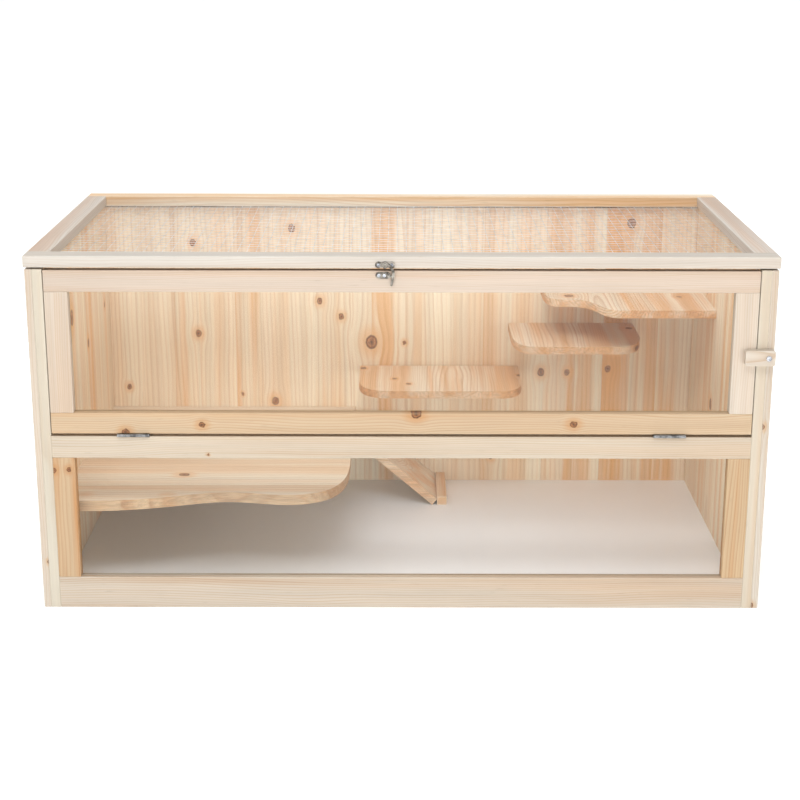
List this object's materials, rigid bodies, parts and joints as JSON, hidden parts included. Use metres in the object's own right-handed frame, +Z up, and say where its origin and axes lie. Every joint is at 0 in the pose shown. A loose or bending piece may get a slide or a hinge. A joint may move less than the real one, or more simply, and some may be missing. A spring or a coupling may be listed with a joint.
{
  "type": "hamster cage",
  "caption": "Wooden hamster cage: clear front panes, drop-down door, hinged wire-mesh lid, wavy platform, ramp and wall shelves inside.",
  "frame": {"origin": "centre of the lid's 1000 x 500 mm plan, on the ground under the cage", "axes": "+X to the right as seen from the front, -Y to the front where the door and latch are, +Z up"},
  "size_m": [1, 0.5161, 0.5],
  "materials": {
    "fir_frame": "bare planed fir strips with broken edges",
    "fir_panel": "bare edge-glued fir boards, upright staves with knots",
    "fir_shelf": "bare sawn fir board with knots",
    "white_board": "hardboard with a smooth off-white face",
    "clear_pane": "clear acrylic sheet",
    "galvanised_wire": "galvanised welded wire",
    "hinge_steel": "zinc-plated pressed steel",
    "nickel_latch": "nickel-plated steel",
    "zinc_screws": "bright zinc-plated"
  },
  "bodies": {
    "cabinet": {"left_side_panel": "fir_panel", "right_side_panel": "fir_panel", "back_panel": "fir_panel", "left_front_post": "fir_frame", "left_rear_post": "fir_frame", "right_front_post": "fir_frame", "right_rear_post": "fir_frame", "left_top_strip": "fir_frame", "left_bottom_strip": "fir_frame", "right_top_strip": "fir_frame", "right_bottom_strip": "fir_frame", "front_bottom_rail": "fir_frame", "front_middle_rail": "fir_frame", "lower_left_stile": "fir_frame", "lower_right_stile": "fir_frame", "lower_window": "clear_pane", "floor_board": "white_board", "floor_batten_left": "fir_frame", "floor_batten_right": "fir_frame", "floor_batten_front": "fir_frame", "floor_batten_rear": "fir_frame", "platform": "fir_shelf", "shelf_low": "fir_shelf", "shelf_middle": "fir_shelf", "shelf_high": "fir_shelf", "ramp": "fir_shelf", "ramp_stop": "fir_shelf", "door_hinge_left_fixed_leaf": "hinge_steel", "door_hinge_right_fixed_leaf": "hinge_steel", "lid_hinge_left_fixed_leaf": "hinge_steel", "lid_hinge_right_fixed_leaf": "hinge_steel", "hinge_pins": "hinge_steel", "hinge_fixed_screws": "zinc_screws", "frame_screws": "zinc_screws", "shelf_screws": "zinc_screws", "turn_button_screw": "zinc_screws"},
    "lid": {"lid_front_rail": "fir_frame", "lid_rear_rail": "fir_frame", "lid_left_rail": "fir_frame", "lid_right_rail": "fir_frame", "lid_mesh": "galvanised_wire", "mesh_staples": "zinc_screws", "lid_hinge_left_leaf": "hinge_steel", "lid_hinge_right_leaf": "hinge_steel", "lid_hinge_screws": "zinc_screws", "latch_plate": "nickel_latch", "latch_plate_screws": "zinc_screws", "latch_rivet": "nickel_latch"},
    "door": {"door_top_rail": "fir_frame", "door_bottom_rail": "fir_frame", "door_left_stile": "fir_frame", "door_right_stile": "fir_frame", "door_window": "clear_pane", "door_hinge_left_leaf": "hinge_steel", "door_hinge_right_leaf": "hinge_steel", "door_hinge_screws": "zinc_screws", "latch_keeper": "nickel_latch", "keeper_screws": "zinc_screws"},
    "latch_hook": {"latch_hook": "nickel_latch"},
    "turn_button": {"turn_button": "fir_frame"}
  },
  "joints": [
    {"name": "lid_hinge", "type": "hinge", "parent": "cabinet", "child": "lid", "pos_m": [0, 0.252, 0.4832], "axis": [-1, 0, 0], "range_deg": [0, 175]},
    {"name": "door_hinge", "type": "hinge", "parent": "cabinet", "child": "door", "pos_m": [0, -0.2522, 0.2527], "axis": [1, 0, 0], "range_deg": [0, 175]},
    {"name": "turn_button_pivot", "type": "hinge", "parent": "cabinet", "child": "turn_button", "pos_m": [0.4896, -0.2553, 0.3645], "axis": [0, -1, 0], "continuous": true},
    {"name": "latch_hook_pivot", "type": "hinge", "parent": "lid", "child": "latch_hook", "pos_m": [-0.022, -0.2534, 0.4889], "axis": [0, -1, 0], "range_deg": [0, 110]}
  ]
}
